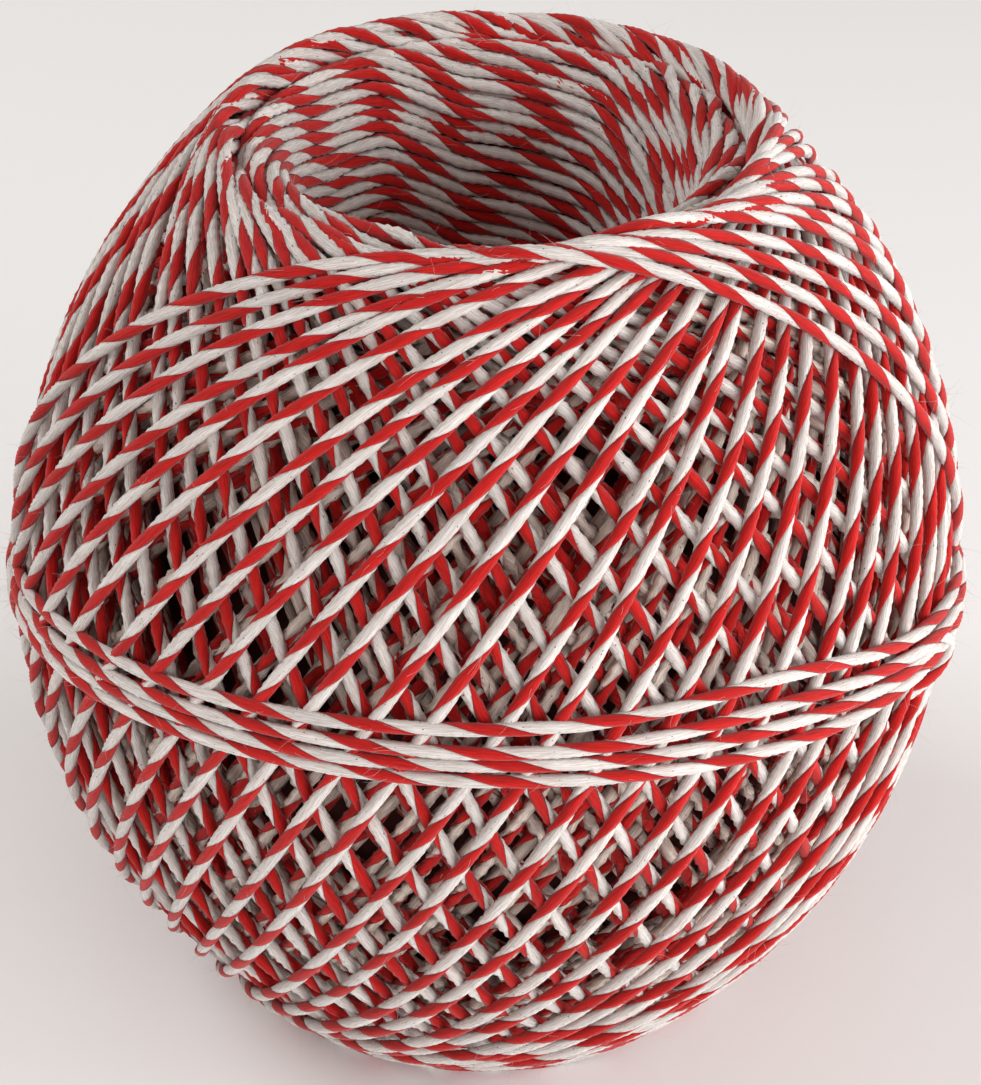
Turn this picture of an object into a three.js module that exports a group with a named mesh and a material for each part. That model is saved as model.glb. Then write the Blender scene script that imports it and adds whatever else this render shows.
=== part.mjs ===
// A cross-wound ball of two-coloured twine with an open bore, standing on its lower rim.
import * as THREE from 'three';

// Driving sizes, in millimetres, degrees and counts
const ballRadius = 37.5; // over the outermost lay, half way up
const ballHeight = 73.5; // from the lower rim to the upper rim
const poleReach = 43.5; // half the length of the spheroid that the rims cut short
const shoulderHeight = 36; // above the middle, where every turn runs level beside the rim
const twineDiameter = 1.3;
const turnsRound = 54; // turns laid side by side in one trip round the ball
const grooveDepth = 2 * twineDiameter; // the gaps between turns are open two lays deep
const beltTilt = 11.5; // the last turns ride high at the front and low at the back
const beltLift = 0.4; // how far the belt stands over the lay below it
const beltDip = 0.3; // the crease between two belt turns that touch
const beltSink = 0.4; // how far it presses the lay down along its edges
const beltGap = 0.6; // between the uppermost belt turn and the three below it
const rowsEachSide = 11; // rows of points between the belt and a shoulder
const rowNearBelt = 0.1; // where those rows start and end, as shares of the way to the pole
const rowNearRim = 0.93;

// The rim and the bore, from the shoulder inwards: radius, and depth below the top of the rim
const rimSection = [
  { radius: 20.5, drop: 0.3 },
  { radius: 19.7, drop: 0 },
  { radius: 17.6, drop: 0 },
  { radius: 16.3, drop: 0.9 },
  { radius: 15.0, drop: 3.2 },
  { radius: 14.0, drop: 7.5 },
  { radius: 13.3, drop: 14 },
  { radius: 13.0, drop: 26 },
];

// Sizes that follow from the ones above
const middleHeight = ballHeight / 2;
const columns = 2 * turnsRound; // one along the top of each turn and one along each groove
const columnStep = (2 * Math.PI) / columns;
const shoulderRadius = spheroidRadius(shoulderHeight);
const beltSlope = Math.tan(THREE.MathUtils.degToRad(beltTilt));

// Radius of the wound form at a height above its middle
function spheroidRadius(height) {
  return ballRadius * Math.sqrt(1 - (height / poleReach) ** 2);
}

// A turn lies in a plane through the centre of the ball. This is how far round the axis it has come,
// from its highest point, when it is at the given height.
function turnAngle(height) {
  const level = (height / shoulderHeight) * (shoulderRadius / spheroidRadius(height));
  return Math.acos(THREE.MathUtils.clamp(level, -1, 1));
}

// A point of the ball from its azimuth, its height above the middle and its radius
function pointAt(azimuth, height, radius) {
  return new THREE.Vector3(radius * Math.cos(azimuth), radius * Math.sin(azimuth), height + middleHeight);
}

// A closed row of points, each column of which follows one turn or one groove. A row leans with the
// belt by the share given, rises by lift, and dips by groove between the turns.
function windingRow({ height, lean, lift, groove }) {
  const row = [];
  for (let column = 0; column < columns; column += 1) {
    const start = column * columnStep;
    let level = height;
    let azimuth = start - turnAngle(level);
    for (let pass = 0; pass < 6; pass += 1) {
      level = height - lean * beltSlope * ballRadius * Math.sin(azimuth);
      azimuth = start - turnAngle(level);
    }
    const dip = column % 2 === 0 ? 0 : groove;
    row.push(pointAt(azimuth, level, spheroidRadius(level) + lift - dip));
  }
  return row;
}

// Rows from beside the belt to a shoulder, on the upper side (+1) or the lower side (-1). The rows
// level out and the grooves close up towards the rim.
function sideRows(side) {
  const rows = [];
  for (let index = 0; index < rowsEachSide; index += 1) {
    const share = THREE.MathUtils.lerp(rowNearBelt, rowNearRim, index / (rowsEachSide - 1));
    const nearness = share / rowNearRim;
    rows.push(windingRow({
      height: side * shoulderHeight * Math.sin((share * Math.PI) / 2),
      lean: 1 - nearness ** 2,
      lift: 0,
      groove: grooveDepth * (1 - nearness ** 6),
    }));
  }
  return rows;
}

// Rows across the belt, from its lower edge to its upper one: three turns that touch, then one apart
function beltRows() {
  const half = twineDiameter / 2;
  const lowest = -2 * twineDiameter - beltGap / 2;
  const foot = { lift: -beltSink, groove: 0 };
  const top = { lift: beltLift, groove: 0 };
  const crease = { lift: beltLift - beltDip, groove: 0 };
  const section = [
    { height: lowest, ...foot },
    { height: lowest + half, ...top },
    { height: lowest + 2 * half, ...crease },
    { height: lowest + 3 * half, ...top },
    { height: lowest + 4 * half, ...crease },
    { height: lowest + 5 * half, ...top },
    { height: lowest + 6 * half, ...foot },
    { height: lowest + 6 * half + beltGap, ...foot },
    { height: lowest + 7 * half + beltGap, ...top },
    { height: lowest + 8 * half + beltGap, ...foot },
  ];
  return section.map((line) => windingRow({ ...line, lean: 1 }));
}

// Level rings over one rim and into the bore, in step with the row of points at the shoulder
function rimRings(shoulderRow, side) {
  const start = Math.atan2(shoulderRow[0].y, shoulderRow[0].x);
  return rimSection.map(({ radius, drop }) => {
    const ring = [];
    for (let column = 0; column < columns; column += 1) {
      ring.push(pointAt(start + column * columnStep, side * (middleHeight - drop), radius));
    }
    return ring;
  });
}

// The column of a ring that is nearest to a point, seen along the axis
function nearestColumn(ring, point) {
  const reach = ring.map((candidate) => Math.hypot(candidate.x - point.x, candidate.y - point.y));
  return reach.indexOf(Math.min(...reach));
}

// Two triangles for each column between one loop of points and the next, split on the shorter
// diagonal. The next loop may start some columns on.
function joinLoops(loops, from, to, columnsOn) {
  const triangles = [];
  for (let column = 0; column < columns; column += 1) {
    const next = (column + 1) % columns;
    const across = (column + columnsOn) % columns;
    const acrossNext = (next + columnsOn) % columns;
    const corners = [
      from * columns + column,
      from * columns + next,
      to * columns + acrossNext,
      to * columns + across,
    ];
    const rising = loops[from][column].distanceTo(loops[to][acrossNext]);
    const falling = loops[from][next].distanceTo(loops[to][across]);
    const order = rising < falling ? [0, 1, 2, 0, 2, 3] : [0, 1, 3, 1, 2, 3];
    triangles.push(...order.map((corner) => corners[corner]));
  }
  return triangles;
}

// One closed skin: up the outside, over the upper rim, down the bore and back over the lower rim.
function woundGeometry() {
  const outside = [...sideRows(-1).reverse(), ...beltRows(), ...sideRows(1)];
  const upperRings = rimRings(outside[outside.length - 1], 1);
  const lowerRings = rimRings(outside[0], -1).reverse();
  const loops = [...outside, ...upperRings, ...lowerRings];
  const deepest = outside.length + upperRings.length - 1;

  const triangles = [];
  loops.forEach((loop, index) => {
    const following = (index + 1) % loops.length;
    const columnsOn = index === deepest ? nearestColumn(loops[following], loop[0]) : 0;
    triangles.push(...joinLoops(loops, index, following, columnsOn));
  });

  const geometry = new THREE.BufferGeometry().setFromPoints(loops.flat());
  geometry.setIndex(triangles);
  geometry.computeVertexNormals();
  return geometry;
}

const twine = new THREE.MeshStandardMaterial({ color: 0xa5686a, roughness: 0.95, metalness: 0 });
const woundBall = new THREE.Mesh(woundGeometry(), twine);
woundBall.name = 'wound_ball';

const part = new THREE.Group();
part.add(woundBall);

export default part;
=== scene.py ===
"""Looks of a cross-wound ball of twine.

Each turn of the lays is modelled as two plies, one red and one white, twisted round each other.
The turns follow the rule of the winding machine: each lies in a plane through the middle of the ball,
touches both rims, and the plane creeps round the axis as the ball grows.
"""

import logging
import math
from dataclasses import dataclass
from enum import Enum
from typing import ClassVar

import bpy
import numpy as np
from mathutils import Matrix, Vector


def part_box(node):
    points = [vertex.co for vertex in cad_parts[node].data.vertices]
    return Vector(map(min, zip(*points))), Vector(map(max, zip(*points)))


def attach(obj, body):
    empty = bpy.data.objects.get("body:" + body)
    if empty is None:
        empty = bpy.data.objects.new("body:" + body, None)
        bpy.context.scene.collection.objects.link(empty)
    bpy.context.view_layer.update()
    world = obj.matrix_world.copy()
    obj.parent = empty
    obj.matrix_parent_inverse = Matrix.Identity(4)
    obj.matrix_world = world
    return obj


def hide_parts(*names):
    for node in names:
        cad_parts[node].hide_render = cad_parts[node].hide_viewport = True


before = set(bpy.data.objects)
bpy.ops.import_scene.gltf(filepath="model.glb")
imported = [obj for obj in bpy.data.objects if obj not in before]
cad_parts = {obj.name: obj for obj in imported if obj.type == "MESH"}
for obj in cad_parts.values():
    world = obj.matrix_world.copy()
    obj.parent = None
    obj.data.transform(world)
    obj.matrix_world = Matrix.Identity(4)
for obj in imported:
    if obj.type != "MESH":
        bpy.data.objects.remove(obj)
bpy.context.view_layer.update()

MM = 0.001
BODY = "root"
NODE = "wound_ball"
TWINE_MAP = "along_twine"
FRONT = -math.pi / 2
PHOTO_WIDTH = 981
PHOTO_HEIGHT = 1085

log = logging.getLogger("ball_of_twine")


class Ply(Enum):
    """The two plies of the twine, with the half turn that parts them."""

    RED = 0.0
    WHITE = math.pi


class End(Enum):
    """The two ends of the ball: the lower one is the upper one turned half round the X axis."""

    UPPER = 0
    LOWER = 1


@dataclass(frozen=True)
class Twine:
    """The twine, in millimetres and radians."""

    diameter: float = 1.3
    lay_length: float = 7.3  # in which the plies turn once round each other
    strand_radius: float = 0.47
    crown: float = 0.055  # how far the middle of a ply swells out
    red_half_arc: float = math.radians(79)
    white_half_arc: float = math.radians(101)
    twist_wander: float = 2.2
    twist_reach: float = 45.0  # between places where the twist is faster or slower

    def ply_section(self, ply: Ply, sides: int) -> tuple[np.ndarray, np.ndarray]:
        """The section of a ply: part of a disc, pressed flat against the other ply.

        Args:
            ply: which of the two plies.
            sides: number of points.

        Returns:
            Distance of each point from the strand's line along the ply's own direction, and across it.
        """
        half_arc = self.red_half_arc if ply is Ply.RED else self.white_half_arc
        around = np.linspace(-half_arc, half_arc, sides)
        radius = self.strand_radius + self.crown * np.cos(around)
        return radius * np.cos(around), radius * np.sin(around)

    def twist(self, along: np.ndarray, seed: int) -> np.ndarray:
        """How far the plies have turned round each other, a little faster here and slower there.

        Args:
            along: lengths along a strand.
            seed: a number of the strand's own.

        Returns:
            The angle at each length.
        """
        noise = np.random.default_rng(seed)
        start = noise.uniform(0.0, 2.0 * math.pi)
        knots = np.arange(0.0, along[-1] + self.twist_reach, self.twist_reach)
        wander = noise.normal(0.0, self.twist_wander, len(knots))
        return start + (2.0 * math.pi / self.lay_length) * along + np.interp(along, knots, wander)


@dataclass(frozen=True)
class TubeDetail:
    """How finely a strand is built: sides round each ply and millimetres between its rings."""

    sides: int
    step: float


def unit(vectors: np.ndarray) -> np.ndarray:
    """Vectors scaled to length one."""
    return vectors / np.linalg.norm(vectors, axis=-1, keepdims=True)


def lengths_along(points: np.ndarray) -> np.ndarray:
    """Length along a line at each of its points."""
    steps = np.linalg.norm(np.diff(points, axis=0), axis=1)
    return np.concatenate([[0.0], np.cumsum(steps)])


def read_off(places: np.ndarray, known: np.ndarray, rows: np.ndarray) -> np.ndarray:
    """Rows of numbers at places between the known ones.

    Args:
        places: where to read.
        known: the place of each given row, in rising order.
        rows: a row of numbers for each known place.

    Returns:
        A row for each place.
    """
    columns = [np.interp(places, known, rows[:, axis]) for axis in range(rows.shape[1])]
    return np.stack(columns, axis=1)


def rounded_off(line: np.ndarray, width: int) -> np.ndarray:
    """A line with its corners rounded off.

    Args:
        line: points in even steps, one in each row.
        width: how many points a corner is spread over, an odd number.

    Returns:
        As many points.
    """
    window = np.hanning(width)
    window /= window.sum()
    padded = np.pad(line, ((width // 2, width // 2), (0, 0)), mode="edge")
    columns = [np.convolve(padded[:, axis], window, mode="valid") for axis in range(line.shape[1])]
    return np.stack(columns, axis=1)


@dataclass
class Route:
    """A strand's centre line, with the direction away from the ball at each point, in millimetres."""

    points: np.ndarray
    normals: np.ndarray
    fewest_points: ClassVar[int] = 4

    def lengths(self) -> np.ndarray:
        """Length along the strand at each point."""
        return lengths_along(self.points)

    def resampled(self, step: float) -> "Route":
        """The same line with even steps.

        Args:
            step: distance between points.

        Returns:
            A new route.
        """
        along = self.lengths()
        even = np.linspace(0.0, along[-1], max(self.fewest_points, int(along[-1] / step)))
        return Route(read_off(even, along, self.points), unit(read_off(even, along, self.normals)))

    def tangents(self) -> np.ndarray:
        """Direction of the strand at each point."""
        return unit(np.gradient(self.points, axis=0))


class TubeMesh:
    """Collects closed tubes and makes one mesh of them, with a map of length and turn for the fibres."""

    def __init__(self) -> None:
        """Start with no tubes."""
        self.vertices: list[np.ndarray] = []
        self.corners: list[np.ndarray] = []
        self.maps: list[np.ndarray] = []
        self.face_sizes: list[np.ndarray] = []
        self.smooth: list[np.ndarray] = []
        self.count = 0

    def add(self, rings: np.ndarray, along: np.ndarray, flat_side: bool = False) -> None:
        """Add a tube with a cap at each end.

        Args:
            rings: points of the tube, ring by ring, shaped (rings, sides, 3).
            along: length along the tube at each ring.
            flat_side: whether the side from the last point of each ring to the first is a flat one.
        """
        ring_count, sides, _ = rings.shape
        index = self.count + np.arange(ring_count * sides).reshape(ring_count, sides)
        following = np.roll(index, -1, axis=1)
        quads = np.stack([index[:-1], following[:-1], following[1:], index[1:]], axis=-1)
        low = np.broadcast_to(along[:-1, None], quads.shape[:2])
        high = np.broadcast_to(along[1:, None], quads.shape[:2])
        left = np.broadcast_to(np.arange(sides) / sides, quads.shape[:2])
        right = left + 1.0 / sides
        corner_maps = [
            np.stack([low, left], axis=-1),
            np.stack([low, right], axis=-1),
            np.stack([high, right], axis=-1),
            np.stack([high, left], axis=-1),
        ]
        self.vertices.append(rings.reshape(-1, 3))
        self.corners.append(quads.reshape(-1))
        self.maps.append(np.stack(corner_maps, axis=2).reshape(-1, 2))
        self.face_sizes.append(np.full(quads.shape[0] * sides, 4))
        rounded = np.ones(quads.shape[:2], dtype=bool)
        rounded[:, -1] = not flat_side
        self.smooth.append(rounded.ravel())
        for cap, place in ((index[0][::-1], along[0]), (index[-1], along[-1])):
            self.corners.append(cap)
            self.maps.append(np.stack([np.full(sides, place), np.arange(sides) / sides], axis=-1))
            self.face_sizes.append(np.array([sides]))
            self.smooth.append(np.array([False]))
        self.count += ring_count * sides

    def to_object(self, name: str, middle: float, material: bpy.types.Material) -> bpy.types.Object:
        """Make the object and place it on the ball. What would reach below the floor is pressed flat on it.

        Args:
            name: the object's name.
            middle: height of the ball's middle over the surface it stands on, in millimetres.
            material: the finish.

        Returns:
            The new object.
        """
        points = np.concatenate(self.vertices) + np.array([0.0, 0.0, middle])
        points[:, 2] = np.maximum(points[:, 2], 0.0)
        corners = np.concatenate(self.corners)
        sizes = np.concatenate(self.face_sizes)
        starts = np.concatenate([[0], np.cumsum(sizes)[:-1]])
        mesh = bpy.data.meshes.new(name)
        mesh.vertices.add(len(points))
        mesh.vertices.foreach_set("co", (points * MM).astype(np.float32).ravel())
        mesh.loops.add(len(corners))
        mesh.loops.foreach_set("vertex_index", corners.astype(np.int32))
        mesh.polygons.add(len(sizes))
        mesh.polygons.foreach_set("loop_start", starts.astype(np.int32))
        mesh.polygons.foreach_set("use_smooth", np.concatenate(self.smooth))
        layer = mesh.uv_layers.new(name=TWINE_MAP)
        layer.data.foreach_set("uv", np.concatenate(self.maps).astype(np.float32).ravel())
        mesh.update(calc_edges=True)
        mesh.materials.append(material)
        made = bpy.data.objects.new(name, mesh)
        bpy.context.scene.collection.objects.link(made)
        return made


def ply_rings(route: Route, twine: Twine, ply: Ply, sides: int, seed: int) -> np.ndarray:
    """Rings of one ply of a strand, twisted to the right.

    Args:
        route: the strand's line, in even steps.
        twine: the twine's sizes.
        ply: which of the two plies.
        sides: points in each ring.
        seed: a number of the strand's own, the same for both its plies.

    Returns:
        Points shaped (rings, sides, 3).
    """
    tangent = route.tangents()
    side = unit(np.cross(tangent, route.normals))
    out = np.cross(side, tangent)
    turn = twine.twist(route.lengths(), seed) + ply.value
    radial = np.cos(turn)[:, None] * out + np.sin(turn)[:, None] * side
    across = np.cos(turn)[:, None] * side - np.sin(turn)[:, None] * out
    reach, spread = twine.ply_section(ply, sides)
    return (
        route.points[:, None, :]
        + reach[None, :, None] * radial[:, None, :]
        + spread[None, :, None] * across[:, None, :]
    )


@dataclass(frozen=True)
class WoundForm:
    """The wound form, in millimetres from its middle."""

    radius: float = 37.5
    pole_reach: float = 43.4
    rim_height: float = 36.75
    line_step: float = 0.2
    corner_points: int = 15
    # Radius, and depth below the top of the rim, from the shoulder inwards
    rim_section: tuple[tuple[float, float], ...] = (
        (25.0, 8.8),
        (22.0, 5.8),
        (19.8, 3.2),
        (18.6, 1.2),
        (17.7, 0.1),
        (16.8, 0.3),
        (15.9, 1.3),
        (15.0, 3.2),
        (14.0, 7.5),
        (13.3, 14.0),
        (13.0, 26.0),
        (13.0, 36.9),
    )

    def rim_line(self, inset: float) -> tuple[np.ndarray, np.ndarray]:
        """The section of the rim and bore, from the shoulder inwards, rounded off.

        Args:
            inset: how far under the surface the line runs.

        Returns:
            Radius and height of each point, and the direction out of the wound form there.
        """
        corners = np.array([(radius, self.rim_height - drop) for radius, drop in self.rim_section])
        along = lengths_along(corners)
        even = np.arange(0.0, along[-1], self.line_step)
        line = rounded_off(read_off(even, along, corners), self.corner_points)
        heading = unit(np.gradient(line, axis=0))
        outward = np.stack([heading[:, 1], -heading[:, 0]], axis=1)
        return line - inset * outward, outward


@dataclass(frozen=True)
class Winding:
    """The cross-wound lays, in millimetres and radians. Turns are counted back from the last one laid."""

    form: WoundForm
    turns_round: float = 54.4  # in one trip round the ball
    lay_step: float = 0.85  # from one lay to the next below it
    top_depth: float = 0.42  # of the last turn's centre line
    touch_radius: float = 19.2  # where a turn runs level beside the rim
    last_heading: float = math.radians(-91)
    heading_wander: float = math.radians(0.7)
    touch_wander: float = 0.3
    depth_wander: float = 0.1
    wander_step: float = 0.5
    most_turns: float = 200.0  # that the wander is drawn for
    calm_turns: float = 2.0  # the last turns, over which the wander sets in
    rim_dip: float = 1.35  # of the oldest turns of a trip below the newest ones, beside the rim
    dip_power: int = 3
    rim_reach: float = math.radians(24)
    rim_stack: float = 0.95  # how far a turn goes under its neighbours before the rim, and over them after
    stack_swing: float = math.radians(2.5)
    stack_reach: float = math.radians(34)
    end_turns: float = 16.0  # over which that fades where one trip ends on another
    samples_per_turn: int = 360
    seed: int = 11

    @property
    def trip_depth(self) -> float:
        """How far a trip round the ball lies below the next one: two lays, one up and one down."""
        return 2.0 * self.lay_step

    def route(self, newest: float, oldest: float) -> Route:
        """The line of a run of turns.

        Args:
            newest: count of the newest turn in the run.
            oldest: count of the oldest one.

        Returns:
            The route, densely sampled.
        """
        turn = np.linspace(newest, oldest, int((oldest - newest) * self.samples_per_turn))
        swing = 2.0 * math.pi * turn
        heading = self.last_heading + swing / self.turns_round + self._wander(turn, 0, self.heading_wander)
        touch = self.touch_radius + self._wander(turn, 1, self.touch_wander)
        past_rim = (swing + math.pi / 2) % math.pi - math.pi / 2
        rounds = np.maximum(turn, 0.0) / self.turns_round
        body_depth = self.trip_depth * rounds
        rim_depth = self.trip_depth * np.floor(rounds) + self.rim_dip * (rounds % 1.0) ** self.dip_power
        near_rim = np.exp(-((past_rim / self.rim_reach) ** 2))
        depth = self.top_depth + body_depth + (rim_depth - body_depth) * near_rim
        depth = depth + self._wander(turn, 2, self.depth_wander)
        stacking = np.tanh(past_rim / self.stack_swing) * np.exp(-((past_rim / self.stack_reach) ** 2))
        before_end = np.clip(turn / self.end_turns, 0.0, 1.0)
        under_end = np.clip(np.abs(self.turns_round - turn) / self.end_turns, 0.0, 1.0)
        stacking = stacking * np.where(past_rim < 0.0, before_end, under_end)
        wide = self.form.radius - depth
        tall = self.form.pole_reach - depth
        touch_height = tall * np.sqrt(1.0 - (touch / wide) ** 2)
        level = np.stack([-np.sin(heading), np.cos(heading), np.zeros_like(turn)], axis=1)
        top = unit(np.stack([touch * np.cos(heading), touch * np.sin(heading), touch_height], axis=1))
        aim = np.cos(swing)[:, None] * top + np.sin(swing)[:, None] * level
        flat = (aim[:, 0] ** 2 + aim[:, 1] ** 2) / wide**2
        points = aim / np.sqrt(flat + (aim[:, 2] / tall) ** 2)[:, None]
        normals = unit(points / np.stack([wide**2, wide**2, tall**2], axis=1))
        return Route(points + (self.rim_stack * stacking)[:, None] * normals, normals)

    def _wander(self, turn: np.ndarray, channel: int, size: float) -> np.ndarray:
        """Unevenness that changes from one half turn to the next.

        Args:
            turn: places along the winding, in turns.
            channel: which of the uneven quantities this is.
            size: how large the unevenness is.

        Returns:
            One value for each place.
        """
        knots = np.arange(-self.calm_turns, self.most_turns, self.wander_step)
        values = np.random.default_rng(self.seed + channel).normal(0.0, size, len(knots))
        return np.interp(turn, knots, values * np.clip(knots / self.calm_turns, 0.0, 1.0))


@dataclass(frozen=True)
class Belt:
    """The last turns, laid nearly level round the middle and pulled tight, in millimetres."""

    form: WoundForm
    twine: Twine
    front_rise: float = 7.3  # how far the belt is over the middle at the front, and below it at the back
    strand_places: tuple[float, ...] = (2.4, 0.8, -0.35, -1.45)
    bunching: float = 0.5
    gather_power: float = 0.6
    pile_heights: tuple[float, ...] = (0.0, 0.55, 0.1, 0.6)
    crossing: float = 0.12  # share of a turn on each side of the back where a strand passes to the next
    lift: float = 0.2
    wander: float = 0.12
    wander_step: float = 0.05
    rise_sizes: tuple[float, ...] = (1.5, 1.1, 0.4, -0.3)
    rise_place: float = math.radians(36)
    rise_width: float = math.radians(17)
    samples_per_turn: int = 720
    tuck_samples: int = 90
    tuck_corner_points: int = 21
    # Azimuth in degrees, height over the middle of the ball, and lift
    tucked_end: tuple[tuple[float, float, float], ...] = (
        (-31.0, 4.4, -0.9),
        (-27.0, 3.9, -0.1),
        (-23.5, 3.1, 0.6),
        (-20.8, 1.7, 0.85),
        (-20.6, 0.6, 0.8),
        (-23.0, -0.5, 0.35),
        (-27.0, -1.0, -0.6),
        (-30.0, -1.2, -1.6),
    )
    seed: int = 5

    def routes(self) -> list[Route]:
        """The belt's turns, which run on from one to the next, and the loop where the end is tucked in."""
        return [self._turns(), self._tuck()]

    def _on_form(self, azimuth: np.ndarray, height: np.ndarray, lift: np.ndarray) -> Route:
        """A line on the ball.

        Args:
            azimuth: angle round the axis.
            height: height over the ball's middle.
            lift: how far the strand stands out from where it would lie flush.

        Returns:
            The route.
        """
        wide = self.form.radius - self.twine.diameter / 2
        radius = wide * np.sqrt(1.0 - (height / self.form.pole_reach) ** 2) + lift
        points = np.stack([radius * np.cos(azimuth), radius * np.sin(azimuth), height], axis=1)
        flatten = np.array([1.0, 1.0, (self.form.radius / self.form.pole_reach) ** 2])
        return Route(points, unit(points * flatten))

    def _turns(self) -> Route:
        """The turns from the top one down, each passing to the next at the back."""
        noise = np.random.default_rng(self.seed)
        count = len(self.strand_places)
        turn = np.linspace(0.0, count, self.samples_per_turn * count)
        off_front = 2.0 * math.pi * (turn % 1.0 - 0.5)
        facing = np.cos(off_front)
        knots = [0.0]
        places = [self.strand_places[0]]
        for index, place in enumerate(self.strand_places):
            knots += [index + self.crossing, index + 1.0 - self.crossing]
            places += [place, place]
        height = np.interp(turn, knots, places)
        gathered = 1.0 - np.abs(facing) ** self.gather_power
        height = height * (1.0 - self.bunching * gathered)
        height = height + self.front_rise * facing
        strand = np.minimum(turn.astype(int), count - 1)
        lift = self.lift + np.array(self.pile_heights)[strand] * gathered
        near_rise = np.exp(-(((off_front + self.rise_place) / self.rise_width) ** 2))
        height = height + np.array(self.rise_sizes)[strand] * near_rise
        sway_knots = np.arange(0.0, count + self.wander_step, self.wander_step)
        sway = np.interp(turn, sway_knots, noise.normal(0.0, 1.0, len(sway_knots)))
        return self._on_form(FRONT - off_front, height + self.wander * sway, lift)

    def _tuck(self) -> Route:
        """The small loop at the right, where the end goes in under the belt."""
        stops = np.array(self.tucked_end)
        share = np.linspace(0.0, len(stops) - 1.0, self.tuck_samples)
        line = rounded_off(read_off(share, np.arange(len(stops)), stops), self.tuck_corner_points)
        azimuth, height, lift = line.T
        return self._on_form(np.radians(azimuth), height, lift)


@dataclass(frozen=True)
class BoreWall:
    """The strands that turn over a rim and line the bore, in millimetres."""

    form: WoundForm
    starts: int = 21
    pitch: float = 1.03
    inset: float = 0.5
    heave: float = 0.2  # unevenness out of the wall
    drift: float = 0.1  # unevenness along the wall
    drift_length: float = 11.0
    kink_fade: float = 12.0  # from the shoulder, over which the kinks set in
    # Azimuth in degrees, and how far the strands are pulled up there
    kinks: tuple[tuple[float, float], ...] = (
        (-180.0, -0.2),
        (-140.0, 0.5),
        (-100.0, -0.4),
        (-60.0, 0.4),
        (-20.0, -0.5),
        (15.0, -1.0),
        (58.0, 1.0),
        (100.0, -0.5),
        (126.0, 0.9),
        (150.0, -0.4),
        (180.0, -0.2),
    )
    seed: int = 23

    def routes(self, end: End) -> list[Route]:
        """The strands at one end of the ball."""
        return [self._strand(index, end) for index in range(self.starts)]

    def _strand(self, index: int, end: End) -> Route:
        """One strand, from the shoulder over the rim and down the bore.

        Args:
            index: which strand.
            end: which end of the ball.

        Returns:
            The strand's route.
        """
        noise = np.random.default_rng([self.seed, index, end.value])
        line, outward = self.form.rim_line(self.inset)
        steps = np.concatenate([[0.0], np.linalg.norm(np.diff(line, axis=0), axis=1)])
        along = np.cumsum(steps)
        slope = np.arcsin(self.starts * self.pitch / (2.0 * math.pi * line[:, 0]))
        start = index * 2.0 * math.pi / self.starts
        azimuth = start - np.cumsum(steps / (line[:, 0] * np.tan(slope)))
        travel = np.cumsum(steps / np.sin(slope))
        knots = np.arange(0.0, travel[-1] + self.drift_length, self.drift_length)
        drift = np.interp(travel, knots, noise.normal(0.0, self.drift, len(knots)))
        heave = np.interp(travel, knots, noise.normal(0.0, self.heave, len(knots)))
        kink_places, kink_sizes = np.array(self.kinks).T
        bearing = (np.degrees(azimuth) + 180.0) % 360.0 - 180.0
        kinked = np.clip(along / self.kink_fade, 0.0, 1.0)
        drift = drift - np.interp(bearing, kink_places, kink_sizes) * kinked
        shifted = np.clip(along + drift, 0.0, along[-1])
        facing = unit(read_off(shifted, along, outward))
        placed = read_off(shifted, along, line) + heave[:, None] * facing
        turned = np.stack([np.cos(azimuth), np.sin(azimuth)], axis=1)
        points = np.column_stack([placed[:, :1] * turned, placed[:, 1]])
        normals = np.column_stack([facing[:, :1] * turned, facing[:, 1]])
        if end is End.LOWER:
            half_turn = np.array([1.0, -1.0, -1.0])
            return Route(points * half_turn, normals * half_turn)
        return Route(points, normals)


@dataclass(frozen=True)
class CottonFinish:
    """A cotton ply: its colour, the colour of its darker streaks, and how its fibres and flecks show."""

    name: str
    colour: tuple[float, float, float]
    streak_colour: tuple[float, float, float]
    fleck_share: float
    sheen: float
    roughness: float = 0.85
    sheen_roughness: float = 0.5
    specular: float = 0.15
    bump: float = 0.8
    bump_height: float = 0.05

    def material(self, fibres: bpy.types.NodeTree) -> bpy.types.Material:
        """Make the material.

        Args:
            fibres: the shared group that draws cotton fibres.

        Returns:
            The material.
        """
        made = bpy.data.materials.new(self.name)
        made.use_nodes = True
        nodes = made.node_tree.nodes
        links = made.node_tree.links
        shader = nodes["Principled BSDF"]
        shader.inputs["Sheen Weight"].default_value = self.sheen
        shader.inputs["Sheen Roughness"].default_value = self.sheen_roughness
        shader.inputs["Specular IOR Level"].default_value = self.specular
        place = nodes.new("ShaderNodeUVMap")
        place.uv_map = TWINE_MAP
        group = nodes.new("ShaderNodeGroup")
        group.node_tree = fibres
        group.inputs["Colour"].default_value = (*self.colour, 1.0)
        group.inputs["Streak Colour"].default_value = (*self.streak_colour, 1.0)
        group.inputs["Fleck Share"].default_value = self.fleck_share
        group.inputs["Roughness"].default_value = self.roughness
        bump = nodes.new("ShaderNodeBump")
        bump.inputs["Strength"].default_value = self.bump
        bump.inputs["Distance"].default_value = self.bump_height * MM
        links.new(place.outputs["UV"], group.inputs["Place"])
        links.new(group.outputs["Colour"], shader.inputs["Base Color"])
        links.new(group.outputs["Roughness"], shader.inputs["Roughness"])
        links.new(group.outputs["Height"], bump.inputs["Height"])
        links.new(bump.outputs["Normal"], shader.inputs["Normal"])
        return made


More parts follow.
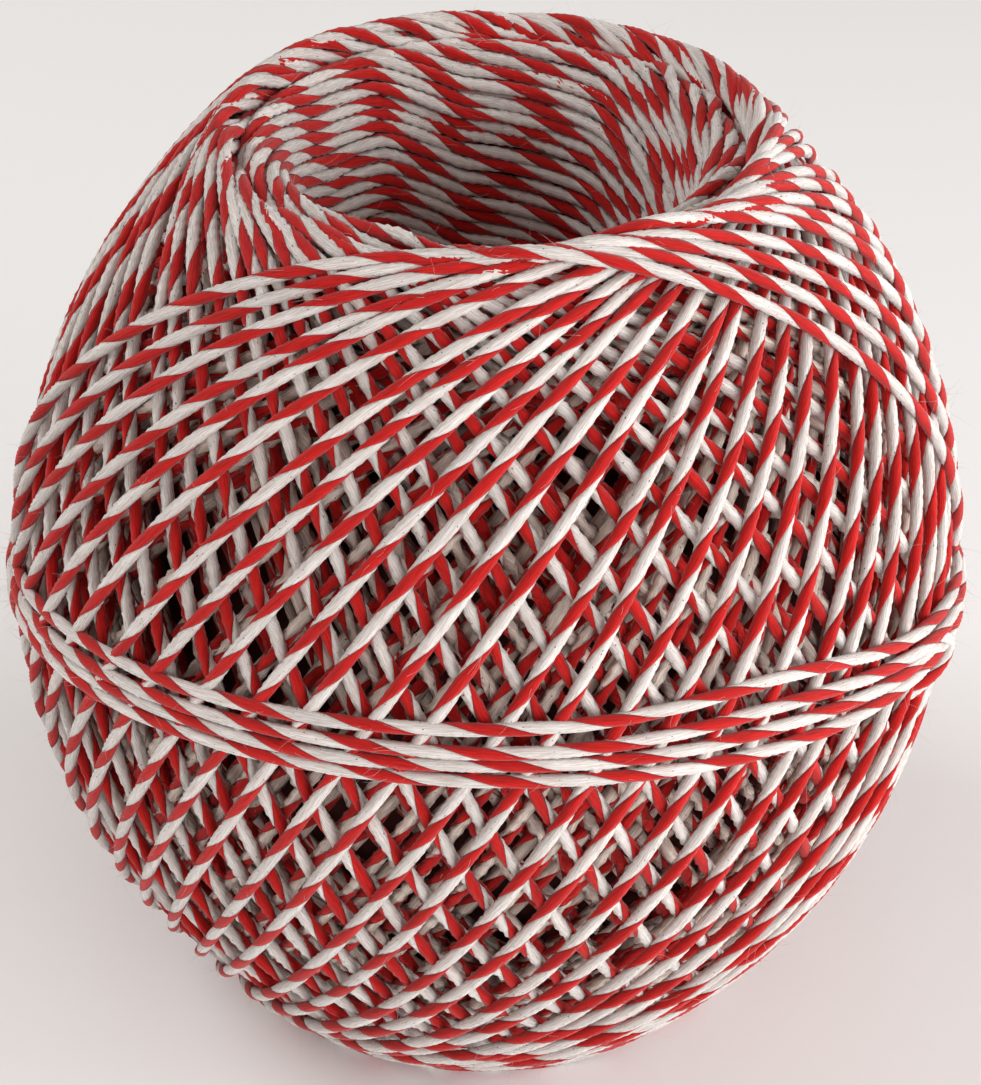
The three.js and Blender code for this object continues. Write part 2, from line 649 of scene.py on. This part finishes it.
@dataclass(frozen=True)
class CottonFibres:
    """The shared group that draws fine fibres along a ply, with uneven dye and small dark flecks.

    A scale is noise cells along each millimetre, and round the ply. A range is the stretch of a noise's
    values over which it acts.
    """

    slant: float = 0.19  # turns round the ply in each millimetre
    streak_scale: tuple[float, float] = (0.55, 28.0)
    streak_detail: float = 3.0
    streak_range: tuple[float, float] = (0.38, 0.60)
    dye_scale: tuple[float, float] = (0.05, 1.0)
    dye_detail: float = 2.0
    dye_range: tuple[float, float] = (0.3, 0.7)
    dye_strength: tuple[float, float] = (0.88, 1.08)
    fleck_scale: tuple[float, float] = (4.5, 13.0)
    fleck_detail: float = 0.0
    fleck_colour: tuple[float, float, float] = (0.08, 0.045, 0.03)
    roughness_swing: float = 0.12
    inputs: tuple[tuple[str, str], ...] = (
        ("Place", "NodeSocketVector"),
        ("Colour", "NodeSocketColor"),
        ("Streak Colour", "NodeSocketColor"),
        ("Fleck Share", "NodeSocketFloat"),
        ("Roughness", "NodeSocketFloat"),
    )
    outputs: tuple[tuple[str, str], ...] = (
        ("Colour", "NodeSocketColor"),
        ("Roughness", "NodeSocketFloat"),
        ("Height", "NodeSocketFloat"),
    )

    def build(self) -> bpy.types.NodeTree:
        """Make the group.

        Returns:
            The node group.
        """
        tree = bpy.data.node_groups.new("Cotton fibres", "ShaderNodeTree")
        for name, kind in self.inputs:
            tree.interface.new_socket(name=name, in_out="INPUT", socket_type=kind)
        for name, kind in self.outputs:
            tree.interface.new_socket(name=name, in_out="OUTPUT", socket_type=kind)
        nodes = tree.nodes
        links = tree.links
        given = nodes.new("NodeGroupInput")
        result = nodes.new("NodeGroupOutput")

        # The fibres cross the ply at a slant
        parts = nodes.new("ShaderNodeSeparateXYZ")
        links.new(given.outputs["Place"], parts.inputs["Vector"])
        straight = nodes.new("ShaderNodeMath")
        straight.operation = "MULTIPLY_ADD"
        straight.inputs[1].default_value = self.slant
        links.new(parts.outputs["X"], straight.inputs[0])
        links.new(parts.outputs["Y"], straight.inputs[2])
        place = nodes.new("ShaderNodeCombineXYZ")
        links.new(parts.outputs["X"], place.inputs["X"])
        links.new(straight.outputs["Value"], place.inputs["Y"])
        streaks = self._noise(tree, place, self.streak_scale, self.streak_detail)
        dye = self._noise(tree, place, self.dye_scale, self.dye_detail)
        flecks = self._noise(tree, place, self.fleck_scale, self.fleck_detail)

        # Darker streaks between the fibres
        shade = nodes.new("ShaderNodeMapRange")
        shade.inputs["From Min"].default_value = self.streak_range[0]
        shade.inputs["From Max"].default_value = self.streak_range[1]
        links.new(streaks.outputs["Fac"], shade.inputs["Value"])
        fibre_mix = nodes.new("ShaderNodeMix")
        fibre_mix.data_type = "RGBA"
        links.new(shade.outputs["Result"], fibre_mix.inputs["Factor"])
        links.new(given.outputs["Streak Colour"], fibre_mix.inputs["A"])
        links.new(given.outputs["Colour"], fibre_mix.inputs["B"])

        # Uneven dye
        fade = nodes.new("ShaderNodeMapRange")
        fade.inputs["From Min"].default_value = self.dye_range[0]
        fade.inputs["From Max"].default_value = self.dye_range[1]
        fade.inputs["To Min"].default_value = self.dye_strength[0]
        fade.inputs["To Max"].default_value = self.dye_strength[1]
        links.new(dye.outputs["Fac"], fade.inputs["Value"])
        dyed = nodes.new("ShaderNodeVectorMath")
        dyed.operation = "SCALE"
        links.new(fibre_mix.outputs["Result"], dyed.inputs["Vector"])
        links.new(fade.outputs["Result"], dyed.inputs["Scale"])

        # Small dark flecks
        fleck = nodes.new("ShaderNodeMath")
        fleck.operation = "LESS_THAN"
        links.new(flecks.outputs["Fac"], fleck.inputs[0])
        links.new(given.outputs["Fleck Share"], fleck.inputs[1])
        flecked = nodes.new("ShaderNodeMix")
        flecked.data_type = "RGBA"
        flecked.inputs["B"].default_value = (*self.fleck_colour, 1.0)
        links.new(fleck.outputs["Value"], flecked.inputs["Factor"])
        links.new(dyed.outputs["Vector"], flecked.inputs["A"])
        links.new(flecked.outputs["Result"], result.inputs["Colour"])

        # Roughness and height follow the streaks
        rough = nodes.new("ShaderNodeMath")
        rough.operation = "MULTIPLY_ADD"
        rough.inputs[1].default_value = self.roughness_swing
        links.new(streaks.outputs["Fac"], rough.inputs[0])
        links.new(given.outputs["Roughness"], rough.inputs[2])
        links.new(rough.outputs["Value"], result.inputs["Roughness"])
        links.new(streaks.outputs["Fac"], result.inputs["Height"])
        return tree

    def _noise(
        self,
        tree: bpy.types.NodeTree,
        place: bpy.types.Node,
        scale: tuple[float, float],
        detail: float,
    ) -> bpy.types.Node:
        """Add a noise stretched along the ply.

        Args:
            tree: the group.
            place: the node that gives the place on the ply.
            scale: noise cells along each millimetre, and round the ply.
            detail: how many finer layers the noise has.

        Returns:
            The noise node.
        """
        mapping = tree.nodes.new("ShaderNodeMapping")
        mapping.inputs["Scale"].default_value = (scale[0], scale[1], 1.0)
        noise = tree.nodes.new("ShaderNodeTexNoise")
        noise.inputs["Scale"].default_value = 1.0
        noise.inputs["Detail"].default_value = detail
        tree.links.new(place.outputs["Vector"], mapping.inputs["Vector"])
        tree.links.new(mapping.outputs["Vector"], noise.inputs["Vector"])
        return noise


@dataclass(frozen=True)
class PlainFinish:
    """A matt surface with a little unevenness, for the floor and the inside of the ball."""

    name: str
    colour: tuple[float, float, float]
    roughness: float
    grain: float
    grain_scale: float
    specular: float = 0.1

    def material(self) -> bpy.types.Material:
        """Make the material.

        Returns:
            The material.
        """
        made = bpy.data.materials.new(self.name)
        made.use_nodes = True
        nodes = made.node_tree.nodes
        links = made.node_tree.links
        shader = nodes["Principled BSDF"]
        shader.inputs["Roughness"].default_value = self.roughness
        shader.inputs["Specular IOR Level"].default_value = self.specular
        place = nodes.new("ShaderNodeTexCoord")
        noise = nodes.new("ShaderNodeTexNoise")
        noise.inputs["Scale"].default_value = self.grain_scale
        mix = nodes.new("ShaderNodeMix")
        mix.data_type = "RGBA"
        mix.inputs["A"].default_value = (*(channel * (1.0 - self.grain) for channel in self.colour), 1.0)
        mix.inputs["B"].default_value = (*self.colour, 1.0)
        links.new(place.outputs["Object"], noise.inputs["Vector"])
        links.new(noise.outputs["Fac"], mix.inputs["Factor"])
        links.new(mix.outputs["Result"], shader.inputs["Base Color"])
        return made


@dataclass(frozen=True)
# Painted shade: the inside is a near-black body that darkens the gaps between the strands, where shade
# falls
class InnerMass:
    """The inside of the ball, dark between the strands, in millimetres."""

    form: WoundForm
    outer_inset: float = 6.0
    rim_inset: float = 2.4
    fold_margin: float = 0.05  # how much nearer than the inset a point of the rim's line may come
    shoulder_gap: float = 3.0  # in height, from the end of the side to the start of the rim
    steepest: float = 0.97  # the sine at which the side ends at the latest
    side_points: int = 25
    rim_stride: int = 12  # one point of the rim's line in so many
    steps: int = 96
    merge_distance: float = 0.01

    def build(self, middle: float, material: bpy.types.Material) -> bpy.types.Object:
        """Spin the section of the inside round the axis.

        Where the rim is tightest, the inset line would fold over itself. The points of the fold are nearer
        to the surface than the others, and are left out.

        Args:
            middle: height of the ball's middle, in millimetres.
            material: the finish.

        Returns:
            The new object.
        """
        wide = self.form.radius - self.outer_inset
        tall = self.form.pole_reach - self.outer_inset
        surface, _ = self.form.rim_line(0.0)
        line, _ = self.form.rim_line(self.rim_inset)
        reach = np.linalg.norm(line[:, None, :] - surface[None, :, :], axis=2).min(axis=1)
        rim = line[reach > self.rim_inset - self.fold_margin][:: self.rim_stride]
        top_height = float(rim[0, 1])
        shoulder = math.asin(min(self.steepest, (top_height - self.shoulder_gap) / tall))
        angles = np.linspace(-shoulder, shoulder, self.side_points)
        outer = np.stack([wide * np.cos(angles), tall * np.sin(angles)], axis=1)
        lower_rim = rim[::-1] * np.array([1.0, -1.0])
        section = np.concatenate([outer, rim, lower_rim])
        count = len(section)
        mesh = bpy.data.meshes.new("inner_mass")
        points = [(float(radius) * MM, 0.0, float(height + middle) * MM) for radius, height in section]
        mesh.from_pydata(points, [(index, (index + 1) % count) for index in range(count)], [])
        made = bpy.data.objects.new("inner_mass", mesh)
        bpy.context.scene.collection.objects.link(made)
        bpy.ops.object.select_all(action="DESELECT")
        bpy.context.view_layer.objects.active = made
        made.select_set(True)
        bpy.ops.object.mode_set(mode="EDIT")
        bpy.ops.mesh.select_all(action="SELECT")
        bpy.ops.mesh.spin(
            steps=self.steps,
            angle=2.0 * math.pi,
            center=(0.0, 0.0, 0.0),
            axis=(0.0, 0.0, 1.0),
        )
        bpy.ops.mesh.select_all(action="SELECT")
        bpy.ops.mesh.remove_doubles(threshold=self.merge_distance * MM)
        bpy.ops.mesh.normals_make_consistent(inside=False)
        bpy.ops.object.mode_set(mode="OBJECT")
        bpy.ops.object.shade_smooth()
        mesh.materials.append(material)
        return made


@dataclass(frozen=True)
class LooseFibres:
    """Fine cotton hairs that stand off the outer strands, in millimetres."""

    count: int = 2000
    shortest: float = 0.6
    longest: float = 2.6
    thickness: float = 0.011  # radius at the root
    taper: float = 0.7  # share of it that is lost at the tip
    root_height: float = 0.45  # over the strand's centre line
    rise: float = 0.7
    scatter: float = 0.35
    least_bend: float = 0.2
    most_bend: float = 0.9
    rings: int = 5
    sides: int = 3
    seed: int = 41

    def mesh(self, routes: list[Route]) -> TubeMesh:
        """Grow the hairs on some strands.

        Args:
            routes: the strands that carry them.

        Returns:
            The tubes.
        """
        noise = np.random.default_rng(self.seed)
        points = np.concatenate([route.points for route in routes])
        normals = np.concatenate([route.normals for route in routes])
        tangents = np.concatenate([route.tangents() for route in routes])
        chosen = noise.integers(0, len(points), self.count)
        tubes = TubeMesh()
        for index in chosen:
            lean = noise.normal(0.0, 1.0, 3)
            reach = noise.uniform(self.shortest, self.longest)
            forward = tangents[index] * noise.choice([-1.0, 1.0])
            first = unit(forward + self.rise * normals[index] + self.scatter * lean)
            bend = unit(np.cross(first, noise.normal(0.0, 1.0, 3)))
            bend = bend * noise.uniform(self.least_bend, self.most_bend)
            share = np.linspace(0.0, 1.0, self.rings)[:, None]
            root = points[index] + self.root_height * normals[index]
            line = root + reach * (first * share + bend * share**2 / 2)
            heading = unit(np.gradient(line, axis=0))
            side = unit(np.cross(heading, bend))
            other = np.cross(heading, side)
            around = np.arange(self.sides) * (2.0 * math.pi / self.sides)
            radius = self.thickness * (1.0 - self.taper * share[:, 0])
            ring = np.cos(around)[None, :, None] * side[:, None, :]
            ring = ring + np.sin(around)[None, :, None] * other[:, None, :]
            tubes.add(line[:, None, :] + radius[:, None, None] * ring, share[:, 0] * reach)
        return tubes


@dataclass(frozen=True)
class Lay:
    """A run of turns built in one go, counted back from the last turn."""

    name: str
    newest: float
    oldest: float
    twine: Twine
    detail: TubeDetail
    # Whether its white ply is the darker, warmer copy that carries painted shade
    shaded: bool = False


class BallOfTwine:
    """The whole ball: its winding, belt, bore wall, inner mass and loose fibres."""

    red_cotton = CottonFinish(
        name="Red cotton",
        colour=(0.58, 0.012, 0.010),
        streak_colour=(0.31, 0.006, 0.005),
        fleck_share=0.0,
        sheen=0.2,
    )
    white_cotton = CottonFinish(
        name="Natural white cotton",
        colour=(0.75, 0.715, 0.695),
        streak_colour=(0.52, 0.45, 0.41),
        fleck_share=0.2,
        sheen=0.45,
    )
    # Painted shade: a darker, warmer copy of the white cotton, for the deeper lays and the under bore,
    # where shade falls between the strands
    shaded_cotton = CottonFinish(
        name="Shaded white cotton",
        colour=(0.78, 0.68, 0.61),
        streak_colour=(0.50, 0.40, 0.34),
        fleck_share=0.2,
        sheen=0.1,
    )
    # Painted shade: the inside is made near black to stand for the shade deep between the strands
    painted_shade_inside = PlainFinish(
        name="Painted shade inside",
        colour=(0.09, 0.028, 0.024),
        roughness=0.95,
        grain=0.5,
        grain_scale=900.0,
    )
    taut_twine = Twine()
    belt_twine = Twine(
        strand_radius=0.46,
        lay_length=8.0,
        red_half_arc=math.radians(75),
        white_half_arc=math.radians(102),
    )
    loose_twine = Twine(strand_radius=0.51)
    pressed_twine = Twine(strand_radius=0.58)
    lays = (
        Lay("first_lay", -0.3, 27.0, taut_twine, TubeDetail(sides=6, step=0.7)),
        Lay("second_lay", 27.0, 54.0, loose_twine, TubeDetail(sides=6, step=0.95)),
        Lay("third_lay", 54.0, 81.0, loose_twine, TubeDetail(sides=5, step=1.15), shaded=True),
        Lay("fourth_lay", 81.0, 108.0, pressed_twine, TubeDetail(sides=4, step=1.4), shaded=True),
        Lay("fifth_lay", 108.0, 136.0, pressed_twine, TubeDetail(sides=4, step=1.8), shaded=True),
        Lay("sixth_lay", 136.0, 164.0, pressed_twine, TubeDetail(sides=3, step=2.4), shaded=True),
    )
    belt_detail = TubeDetail(sides=8, step=0.7)
    upper_bore_detail = TubeDetail(sides=6, step=1.0)
    under_bore_detail = TubeDetail(sides=4, step=1.9)
    lower_bore_detail = TubeDetail(sides=5, step=1.5)
    under_bore_inset = 1.15
    under_bore_seed = 61

    def __init__(self) -> None:
        """Work out the sizes and make the finishes."""
        low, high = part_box(NODE)
        self.middle = (low.z + high.z) / 2 / MM
        self.form = WoundForm()
        self.winding = Winding(self.form)
        self.belt = Belt(self.form, self.belt_twine)
        self.bore = BoreWall(self.form)
        self.under_bore = BoreWall(self.form, inset=self.under_bore_inset, seed=self.under_bore_seed)
        fibres = CottonFibres().build()
        red = self.red_cotton.material(fibres)
        self.outer_finishes = {Ply.RED: red, Ply.WHITE: self.white_cotton.material(fibres)}
        # The deeper lays and the under bore take the white with painted shade
        self.shaded_finishes = {Ply.RED: red, Ply.WHITE: self.shaded_cotton.material(fibres)}
        self.dark = self.painted_shade_inside.material()

    def build(self) -> list[bpy.types.Object]:
        """Make every piece.

        Returns:
            The pieces.
        """
        pieces = [InnerMass(self.form).build(self.middle, self.dark)]
        for lay in self.lays:
            route = self.winding.route(lay.newest, lay.oldest)
            finishes = self.shaded_finishes if lay.shaded else self.outer_finishes
            pieces += self._plied(lay.name, [route], lay.twine, lay.detail, finishes)
        outer = self.outer_finishes
        inner = self.shaded_finishes
        belt = self.belt.routes()
        upper = self.bore.routes(End.UPPER)
        under = self.under_bore.routes(End.UPPER)
        lower = self.bore.routes(End.LOWER)
        pieces += self._plied("belt_turns", belt, self.belt_twine, self.belt_detail, outer)
        pieces += self._plied("upper_bore_turns", upper, self.loose_twine, self.upper_bore_detail, outer)
        pieces += self._plied("under_bore_turns", under, self.loose_twine, self.under_bore_detail, inner)
        pieces += self._plied("lower_bore_turns", lower, self.loose_twine, self.lower_bore_detail, outer)
        first = self.winding.route(self.lays[0].newest, self.lays[0].oldest)
        hairs = LooseFibres().mesh([first, *belt, *upper])
        pieces.append(hairs.to_object("loose_fibres", self.middle, self.outer_finishes[Ply.WHITE]))
        for piece in pieces:
            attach(piece, BODY)
        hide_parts(NODE)
        return pieces

    def _plied(
        self,
        name: str,
        routes: list[Route],
        twine: Twine,
        detail: TubeDetail,
        finishes: dict[Ply, bpy.types.Material],
    ) -> list[bpy.types.Object]:
        """Make the two plies of some strands, each a piece of its own.

        Args:
            name: what the strands are.
            routes: their lines.
            twine: the twine's sizes there.
            detail: how finely they are built.
            finishes: the finish of each ply.

        Returns:
            The red piece and the white piece.
        """
        made = []
        for ply in Ply:
            tubes = TubeMesh()
            for index, route in enumerate(routes):
                even = route.resampled(detail.step)
                rings = ply_rings(even, twine, ply, detail.sides, index)
                tubes.add(rings, even.lengths(), flat_side=True)
            made.append(tubes.to_object(f"{name}_{ply.name.lower()}", self.middle, finishes[ply]))
        return made


@dataclass(frozen=True)
class SoftLight:
    """A square light that faces the ball: where it stands and its side in millimetres, and its watts."""

    name: str
    place: tuple[float, float, float]
    size: float
    power: float


@dataclass(frozen=True)
class Studio:
    """The floor, the lights and the camera, in millimetres and degrees."""

    elevation: float = 34.0
    roll: float = -1.1
    distance: float = 225.0
    ball_radius: float = 37.5
    radius_pixels: float = 469.0
    centre_pixel: tuple[float, float] = (486.6, 550.2)
    sensor: float = 36.0
    nearest: float = 10.0
    floor_side: float = 8000.0
    floor_finish: PlainFinish = PlainFinish(
        name="Pale floor",
        colour=(0.9, 0.9, 0.9),
        roughness=0.9,
        grain=0.02,
        grain_scale=3.0,
    )
    lights: tuple[SoftLight, ...] = (
        SoftLight("key", (300.0, -400.0, 75.0), 420.0, 2.4),
        SoftLight("side", (430.0, -40.0, 120.0), 320.0, 1.75),
        SoftLight("fill", (-260.0, -380.0, 60.0), 300.0, 0.45),
        SoftLight("rim", (-330.0, 100.0, 340.0), 240.0, 0.9),
    )
    sky_colour: tuple[float, float, float] = (1.0, 0.92, 0.86)
    sky_strength: float = 0.44

    def build(self, middle: float) -> None:
        """Set up the scene round the ball.

        Args:
            middle: height of the ball's middle, in millimetres.
        """
        self._floor()
        for light in self.lights:
            self._light(light, middle)
        self._camera(middle)
        world = bpy.data.worlds.new("Studio")
        bpy.context.scene.world = world
        world.use_nodes = True
        sky = world.node_tree.nodes["Background"]
        sky.inputs["Color"].default_value = (*self.sky_colour, 1.0)
        sky.inputs["Strength"].default_value = self.sky_strength
        bpy.context.scene.view_settings.view_transform = "Standard"

    def _floor(self) -> None:
        """Lay the pale floor."""
        bpy.ops.object.select_all(action="DESELECT")
        bpy.ops.mesh.primitive_plane_add(size=self.floor_side * MM, location=(0.0, 0.0, 0.0))
        floor = bpy.context.active_object
        floor.name = "floor"
        floor.data.materials.append(self.floor_finish.material())

    def _light(self, light: SoftLight, middle: float) -> None:
        """Add a soft light.

        Args:
            light: which light.
            middle: height of the ball's middle, in millimetres.
        """
        lamp = bpy.data.lights.new(light.name, "AREA")
        lamp.size = light.size * MM
        lamp.energy = light.power
        made = bpy.data.objects.new(light.name, lamp)
        bpy.context.scene.collection.objects.link(made)
        spot = Vector(light.place) * MM
        aim = Vector((0.0, 0.0, middle * MM)) - spot
        made.location = spot
        made.rotation_euler = aim.to_track_quat("-Z", "Y").to_euler()

    def _camera(self, middle: float) -> None:
        """Place the camera at the photograph's viewing angle.

        Args:
            middle: height of the ball's middle, in millimetres.
        """
        lens = bpy.data.cameras.new("camera")
        lens.sensor_fit = "HORIZONTAL"
        lens.sensor_width = self.sensor
        frame_width = PHOTO_WIDTH / self.radius_pixels * self.ball_radius
        lens.lens = self.sensor * self.distance / frame_width
        lens.shift_x = (PHOTO_WIDTH / 2 - self.centre_pixel[0]) / PHOTO_WIDTH
        lens.shift_y = (self.centre_pixel[1] - PHOTO_HEIGHT / 2) / PHOTO_WIDTH
        lens.clip_start = self.nearest * MM
        made = bpy.data.objects.new("camera", lens)
        bpy.context.scene.collection.objects.link(made)
        rise = math.radians(self.elevation)
        back = Vector((0.0, -math.cos(rise), math.sin(rise)))
        made.location = (Vector((0.0, 0.0, middle)) + self.distance * back) * MM
        turn = back.to_track_quat("Z", "Y").to_matrix() @ Matrix.Rotation(math.radians(-self.roll), 3, "Z")
        made.rotation_euler = turn.to_euler()
        bpy.context.scene.camera = made


def main() -> None:
    """Build the ball and the studio, and report each piece."""
    logging.basicConfig(level=logging.INFO, format="%(name)s: %(message)s")
    ball = BallOfTwine()
    total = 0
    for piece in ball.build():
        triangles = sum(len(face.vertices) - 2 for face in piece.data.polygons)
        total += triangles
        log.info("%s, %d triangles", piece.name, triangles)
    log.info("%d triangles in all", total)
    Studio().build(ball.middle)


if __name__ == "__main__":
    main()
